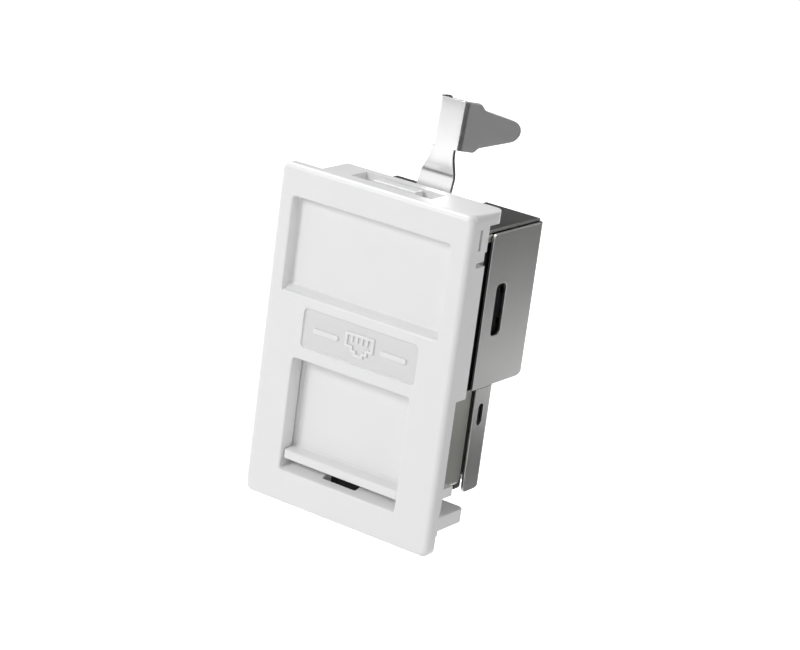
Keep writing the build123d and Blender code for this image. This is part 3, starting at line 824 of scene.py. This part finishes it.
cut(flaps, block(ENTRY_X, (ENTRY_FRONT, BEHIND), (CAN_TOP - SHEET_CUT, CAN_TOP + PAST)))
entry = block(ENTRY_X, (CAN_BACK - SHEET_CUT, CAN_BACK + PAST), (ENTRY_LOW, CAN_TOP + PAST))
round_edges(entry, ENTRY_ROUND, z=at(ENTRY_LOW), along=ALONG_Y, segments=14)
cut(flaps, entry)
clean(flaps)
break_rims(flaps, z=at(CAN_TOP))
weld(can, flaps)
clean(can)
complete(can, can_steel, nodes=("rear_shield",), sharp=CRISP)

# Lower can, in the plated sheet painted a shade darker for its shade
low_can = folded_wall(LOW_FRONT, LOW_BACK, LOW_LOW, CAN_LOW, "lower_can")
side_view = block(THROUGH, (LOW_FRONT, LOW_BACK), (LOW_LOW, CAN_LOW))
round_edges(side_view, LOW_FRONT_CORNER, y=at(LOW_FRONT), z=at(LOW_LOW), segments=8)
round_edges(side_view, LOW_BACK_CORNER, y=at(LOW_BACK), z=at(LOW_LOW), segments=8)
combine(low_can, side_view, "INTERSECT")
oval = block(THROUGH, OVAL_Y, OVAL_Z)
round_edges(oval, OVAL_CORNER, along=ALONG_X, segments=8)
cut(low_can, oval)
clean(low_can)
break_side_rims(low_can)
complete(low_can, low_steel_painted_shade, nodes=("lower_shield",), sharp=CRISP)

# Front sleeve, in plated sheet painted darker for the shade it stands in
sleeve = block((-SLEEVE_HALF, SLEEVE_HALF), SLEEVE_Y, SLEEVE_Z, "front_sleeve")
round_edges(sleeve, SLEEVE_CORNER, along=ALONG_Y, segments=8)
inside = block(
    (SHEET - SLEEVE_HALF, SLEEVE_HALF - SHEET), (SLEEVE_Y[0] - PAST, SLEEVE_Y[1] + PAST),
    (SLEEVE_Z[0] + SHEET, SLEEVE_Z[1] - SHEET),
)
round_edges(inside, SLEEVE_CORNER - SHEET, along=ALONG_Y, segments=8)
cut(sleeve, inside)
side_view = block(THROUGH, SLEEVE_Y, SLEEVE_Z)
round_edges(
    side_view, SLEEVE_LOW_CORNER, y=at(SLEEVE_Y[1]), z=at(SLEEVE_Z[0]), segments=8
)
combine(sleeve, side_view, "INTERSECT")
for side in (-1, 1):
    across = beside(side, *SLEEVE_CUT_X)
    cut(sleeve, block(across, SLEEVE_CUT_Y, (CAN_LOW, SLEEVE_CUT_TOP)))
clean(sleeve)
complete(sleeve, sleeve_steel_painted_shade, nodes=("front_shield",))

# Foot of the black housing between the sleeve and the lower can
foot = block(STUMP_X, STUMP_Y, STUMP_Z, "housing_foot")
round_edges(foot, STUMP_ROUND, z=at(STUMP_Z[0]), segments=5)
complete(foot, black_pbt)

# Cable clamp strap with its two wings

STRAP = 0.5
STRAP_Y = 11.3
STRAP_REAR = 11.0
FOOT_FRONT = 9.3
FOOT_Z = CAN_TOP - SHEET - STRAP / 2
FOOT_BEND = 0.7
LEAN = math.radians(5.0)
BASE_HALF = 2.2
NECK = (18.5, 21.75)
NECK_LEFT = -1.27
ROOT_LEFT = -1.3
ROOT_RIGHT = 1.97
WING = (22.1, 27.5)
BEND_LEFT = 0.4
BEND_RIGHT = 1.0
JOGGLE = (16.7, 19.3)
JOGGLE_START = 16.0
JOGGLE_END = 20.2
JOGGLE_BEND = 5.0
WING_LENGTH = 6.4
WING_ROOT = 1.5
WING_SHOULDER = 0.8
WING_DROP = 0.65
WING_TIP = (2.035, 3.985)
TIP_ROUND = 0.9
STRAP_EDGE = 0.045
FOLD_RIGHT = math.radians(45.0)
FOLD_LEFT = math.radians(90.0)
FLAT_LEFT = ROOT_LEFT + BEND_LEFT * math.tan(FOLD_LEFT / 2)
FLAT_RIGHT = ROOT_RIGHT - BEND_RIGHT * math.tan(FOLD_RIGHT / 2)
# The strip's corners left and right of the column where the left fold starts
LEFT_OF_FOLD = (ANYWHERE[0], FLAT_LEFT - 0.1)
RIGHT_OF_FOLD = (FLAT_LEFT + 0.1, ANYWHERE[1])
# Rows of the strip up its neck and its head, and of a wing round its parts
NECK_ROWS = 8
HEAD_ROWS = 4
FOLD_ROWS = 8
SHOULDER_ROWS = 6
TIP_ROWS = 8
# Distances from the fold at which a wing's outline is drawn before and after its shoulder
ROOT_REACHES = (0.9,)
TAPER_REACHES = (2.9, 3.5, 4.1, 4.7, 5.2)


def rounded_route(points, radius, count=6):
    """A route's corners turned into arcs."""
    route = [Vector(points[0])]
    for before, corner, after in zip(points, points[1:], points[2:]):
        before, corner, after = Vector(before), Vector(corner), Vector(after)
        come = (before - corner).normalized()
        go = (after - corner).normalized()
        half = come.angle(go) / 2
        reach = radius / math.tan(half)
        centre = corner + (come + go).normalized() * radius / math.sin(half)
        first = corner + come * reach - centre
        last = corner + go * reach - centre
        turn = math.pi - 2 * half
        for i in range(count + 1):
            share = i / count
            spoke = (
                first * math.sin((1 - share) * turn) + last * math.sin(share * turn)
            ) / math.sin(turn)
            route.append(centre + spoke)
    route.append(Vector(points[-1]))
    return route


def eased(start, end, place):
    """How far a place lies between a start and an end, from 0 to 1, without a kink."""
    share = min(max((place - start) / (end - start), 0.0), 1.0)
    return share * share * (3 - 2 * share)


def on_lean(z):
    """The leaning line of the strap at one height."""
    return (STRAP_Y + (z - FOOT_Z) * math.tan(LEAN), z)


def upright(point):
    """A point of the side view turned so that the leaning head stands upright."""
    y, z = point[0] - STRAP_Y, point[1] - FOOT_Z
    return Vector((
        STRAP_Y + y * math.cos(LEAN) - z * math.sin(LEAN),
        FOOT_Z + y * math.sin(LEAN) + z * math.cos(LEAN),
    ))


def strap_left(z):
    """The left edge of the strap at one height."""
    return -BASE_HALF + (NECK_LEFT + BASE_HALF) * eased(*NECK, z)


def strap_right(z):
    """The right edge of the strap at one height."""
    return BASE_HALF + (FLAT_RIGHT - BASE_HALF) * eased(*NECK, z)


def rows_between(low, high, count):
    """Evenly spaced heights above the first, up to the last."""
    return [low + (high - low) * i / count for i in range(1, count + 1)]


foot_route = rounded_route(
    [(FOOT_FRONT, FOOT_Z), (STRAP_REAR, FOOT_Z), (STRAP_REAR, JOGGLE_START)], FOOT_BEND
)
joggle_route = rounded_route(
    [
        (STRAP_REAR, JOGGLE_START), (STRAP_REAR, JOGGLE[0]),
        on_lean(JOGGLE[1]), on_lean(JOGGLE_END),
    ],
    JOGGLE_BEND,
)
route = [upright(point) for point in foot_route + joggle_route[1:]]
route += [upright(on_lean(z)) for z in rows_between(JOGGLE_END, WING[0], NECK_ROWS)]
head_route = [upright(on_lean(z)) for z in rows_between(*WING, HEAD_ROWS)]

# Strip of two columns drawn along its side view, an edge at a time
let_go()
bpy.ops.mesh.primitive_grid_add(
    x_subdivisions=2, y_subdivisions=1, size=1, location=(0, 0, 0)
)
clamp = bpy.context.object
clamp.name = "clamp_strap"


def draw_row(last, now, x):
    """Draws the strip on from one row of its side view to the next."""
    pick(clamp, "EDGE", x=x, y=at(last.x), z=at(last.y), along=ALONG_X)
    bpy.ops.mesh.extrude_region_move(
        TRANSFORM_OT_translate={"value": (0, now.x - last.x, now.y - last.y)}
    )


for old, new in ((-0.5, -BASE_HALF), (0.0, FLAT_LEFT), (0.5, BASE_HALF)):
    shift(clamp, (new - old, 0, 0), "VERT", x=at(old))
for old, new in ((-0.5, route[0]), (0.5, route[1])):
    shift(clamp, (0, new.x - old, new.y), "VERT", y=at(old), z=at(0))
for last, now in zip(route[1:], route[2:]):
    draw_row(last, now, ANYWHERE)
    for edge, x in ((strap_left, LEFT_OF_FOLD), (strap_right, RIGHT_OF_FOLD)):
        move = (edge(now.y) - edge(last.y), 0, 0)
        shift(clamp, move, "VERT", x=x, y=at(now.x), z=at(now.y))
for last, now in zip([route[-1]] + head_route, head_route):
    draw_row(last, now, (FLAT_LEFT, ANYWHERE[1]))
bpy.ops.object.mode_set(mode="OBJECT")

# Wings drawn out of the head's edges, round the fold and along the outline
head_low = route[-1].y
head_height = head_route[-1].y - head_low


def wing_span(reach):
    """A wing's lower and upper edge at a distance from its fold."""
    shoulder = WING_ROOT + WING_SHOULDER
    drop = WING_DROP * eased(WING_ROOT, shoulder, reach)
    taper = max((reach - shoulder) / (WING_LENGTH - shoulder), 0.0)
    low = drop + (WING_TIP[0] - WING_DROP) * taper
    high = head_height - drop - (head_height - WING_DROP - WING_TIP[1]) * taper
    past = max(reach - WING_LENGTH + TIP_ROUND, 0.0) / TIP_ROUND
    trim = TIP_ROUND * (1 - math.sqrt(max(1 - past * past, 0.0)))
    return head_low + low + trim, head_low + high - trim


tip_start = WING_LENGTH - TIP_ROUND
reaches = [
    *ROOT_REACHES,
    WING_ROOT,
    *rows_between(WING_ROOT, WING_ROOT + WING_SHOULDER, SHOULDER_ROWS),
    *TAPER_REACHES,
    tip_start,
    *(
        tip_start + TIP_ROUND * math.sin(math.pi / 2 * i / TIP_ROWS)
        for i in range(1, TIP_ROWS + 1)
    ),
]
for side, fold, flat, root, bend in (
    (1, FOLD_RIGHT, FLAT_RIGHT, ROOT_RIGHT, BEND_RIGHT),
    (-1, FOLD_LEFT, FLAT_LEFT, ROOT_LEFT, BEND_LEFT),
):
    corner = Vector((root, STRAP_Y))
    way = Vector((side * math.cos(fold), math.sin(fold)))
    ends = [(flat - side, STRAP_Y), corner, corner + way * WING_LENGTH]
    plan = rounded_route(ends, bend, FOLD_ROWS)[1:-1]
    spans = [wing_span(0.0)] * len(plan)
    plan += [corner + way * reach for reach in reaches]
    spans += [wing_span(reach) for reach in reaches]
    pick(
        clamp, "EDGE", x=at(flat), z=(head_low, head_low + head_height), along=ALONG_Z
    )
    for last, now, old, new in zip(plan, plan[1:], spans, spans[1:]):
        rise = (sum(new) - sum(old)) / 2
        bpy.ops.mesh.extrude_region_move(
            TRANSFORM_OT_translate={"value": (now.x - last.x, now.y - last.y, rise)}
        )
        bpy.ops.transform.resize(
            value=(1, 1, (new[1] - new[0]) / (old[1] - old[0])),
            center_override=(now.x, now.y, sum(new) / 2),
        )
    bpy.ops.object.mode_set(mode="OBJECT")
activate(clamp)
bpy.ops.object.mode_set(mode="EDIT")
bpy.ops.mesh.select_all(action="SELECT")
bpy.ops.transform.rotate(
    value=LEAN, orient_axis="X", center_override=(0, STRAP_Y, FOOT_Z)
)
bpy.ops.mesh.normals_make_consistent(inside=False)
bpy.ops.object.mode_set(mode="OBJECT")
thicken = clamp.modifiers.new("thicken", "SOLIDIFY")
thicken.thickness = STRAP
thicken.offset = 0.0
thicken.use_even_offset = True
bpy.ops.object.modifier_apply(modifier=thicken.name)
soften(clamp, STRAP_EDGE)
complete(clamp, bright_steel, nodes=("cable_clamp",))

# Shutter springs

WIRE_ROUND = 0.1
COIL_ROUND = 0.45
COIL_TURNS = 10
COIL_PITCH = 1.74
SPRING_X = 9.15
SPRING_Y = 2.55
SPRING_LOW = -1.75

for side, node in ((-1, "shutter_spring_left"), (1, "shutter_spring_right")):
    let_go()
    bpy.ops.mesh.primitive_circle_add(
        vertices=8, radius=WIRE_ROUND, fill_type="NOTHING", location=(COIL_ROUND, 0, 0),
        rotation=(math.pi / 2, 0, 0),
    )
    spring = bpy.context.object
    spring.name = node.replace("shutter_spring", "coil_spring")
    bpy.ops.object.transform_apply(location=True, rotation=True, scale=True)
    wind = spring.modifiers.new("wind", "SCREW")
    wind.axis = "Z"
    wind.screw_offset = COIL_PITCH
    wind.iterations = COIL_TURNS
    wind.steps = wind.render_steps = 20
    wind.use_merge_vertices = False
    bpy.ops.object.modifier_apply(modifier=wind.name)
    bpy.ops.object.mode_set(mode="EDIT")
    bpy.ops.mesh.select_mode(type="EDGE")
    bpy.ops.mesh.select_all(action="DESELECT")
    bpy.ops.mesh.select_non_manifold()
    bpy.ops.mesh.fill_holes(sides=0)
    bpy.ops.mesh.select_all(action="SELECT")
    bpy.ops.mesh.normals_make_consistent(inside=False)
    bpy.ops.transform.translate(value=(side * SPRING_X, SPRING_Y, SPRING_LOW))
    bpy.ops.object.mode_set(mode="OBJECT")
    complete(spring, spring_wire_steel, nodes=(node,))
    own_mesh(spring)

# Stage, in metres

AMBIENT = 0.4
FLOOR_Z = -0.049
# What the cards and the lamps look at
STRAP_HEAD = (0.0, 0.012, 0.024)
CAN_MIDDLE = (0, 0.01, 0)
CAN_UPPER = (0, 0.01, 0.015)
MIDDLE = (0, 0.005, 0)


def seen_rays(tree):
    """1 for rays from the camera, off metal or through glass, otherwise 0."""
    ray = add_node(tree, "ShaderNodeLightPath")
    direct = add_node(tree, "ShaderNodeMath", {"operation": "MAXIMUM"})
    tree.links.new(ray.outputs["Is Camera Ray"], direct.inputs[0])
    tree.links.new(ray.outputs["Is Glossy Ray"], direct.inputs[1])
    every = add_node(tree, "ShaderNodeMath", {"operation": "MAXIMUM"})
    tree.links.new(direct.outputs[0], every.inputs[0])
    tree.links.new(ray.outputs["Is Transmission Ray"], every.inputs[1])
    return every.outputs[0]


def stage_sheet(name, place, size, lit, seen=None, facing=None):
    """A matt sheet of the studio, with one tone for the light and one for the eye.

    Without a tone for the eye it is a card, which only reflections show.
    """
    material = bpy.data.materials.new(name)
    material.use_nodes = True
    tree = material.node_tree
    shader = tree.nodes["Principled BSDF"]
    shader.inputs["Roughness"].default_value = 0.9
    shader.inputs["Specular IOR Level"].default_value = 0.0
    shader.inputs["Base Color"].default_value = (lit, lit, lit, 1)
    if seen is not None:
        tone = add_node(
            tree, "ShaderNodeMix", {"data_type": "RGBA"}, {"Factor": seen_rays(tree)}
        )
        tone.inputs[MIX_LOW].default_value = (lit, lit, lit, 1)
        tone.inputs[MIX_HIGH].default_value = (seen, seen, seen, 1)
        tree.links.new(tone.outputs[MIX_RESULT], shader.inputs["Base Color"])
    turn = (0, 0, 0)
    if facing is not None:
        turn = (Vector(facing) - Vector(place)).to_track_quat("Z", "Y").to_euler()
    let_go()
    bpy.ops.mesh.primitive_plane_add(size=1, location=place, rotation=turn)
    sheet = bpy.context.object
    sheet.name = name
    sheet.scale = (size[0], size[1], 1)
    sheet.data.materials.append(material)
    for part in ("camera", "diffuse", "shadow"):
        setattr(sheet, "visible_" + part, seen is not None)


stage_sheet("pale_floor", (0, 0, FLOOR_Z), (6, 6), lit=0.8, seen=1.7)
# Black and grey cards that only show in the folded metal, as a studio's flags do
for name, place, size, lit, facing in (
    ("wing_card", (0.285, -0.133, -0.005), (0.16, 0.09), 0.20, STRAP_HEAD),
    ("fold_card", (0.14, -0.29, -0.005), (0.30, 0.09), 0.02, STRAP_HEAD),
    ("band_card", (-0.18, -0.285, 0.037), (0.30, 0.036), 0.02, STRAP_HEAD),
    ("side_card", (0.19, 0.19, FLOOR_Z + 0.002), (0.20, 0.36), 0.10, None),
    ("rear_card", (0.21, 0.33, 0.03), (0.34, 0.16), 0.05, CAN_MIDDLE),
    ("low_card", (0.06, 0.08, FLOOR_Z + 0.004), (0.03, 0.06), 0.02, None),
    ("top_card", (-0.26, 0.42, 0.22), (0.7, 0.4), 0.03, CAN_UPPER),
):
    stage_sheet(name, place, size, lit, facing=facing)

world = bpy.data.worlds.new("studio")
bpy.context.scene.world = world
world.use_nodes = True
tree = world.node_tree
tree.nodes.clear()
level = add_node(
    tree, "ShaderNodeMapRange", None,
    {"Value": seen_rays(tree), "To Min": AMBIENT, "To Max": 1.0},
)
background = add_node(
    tree, "ShaderNodeBackground", None,
    {"Color": (1, 1, 1, 1), "Strength": level.outputs["Result"]},
)
add_node(
    tree, "ShaderNodeOutputWorld", None, {"Surface": background.outputs["Background"]}
)

# Soft square lamps that look at the middle of the object: place, size and power
for name, place, size, power in (
    ("key", (-0.245, -0.56, 0.35), 0.22, 2.1),
    ("overhead", (-0.35, 0.1, 0.55), 0.25, 1.9),
    ("fill", (0.6, -0.1, 0.25), 0.3, 0.4),
):
    light = bpy.data.lights.new(name, "AREA")
    light.shape = "SQUARE"
    light.size = size
    light.energy = power
    lamp = bpy.data.objects.new(name, light)
    bpy.context.scene.collection.objects.link(lamp)
    lamp.location = place
    towards = Vector(MIDDLE) - Vector(place)
    lamp.rotation_euler = towards.to_track_quat("-Z", "Y").to_euler()
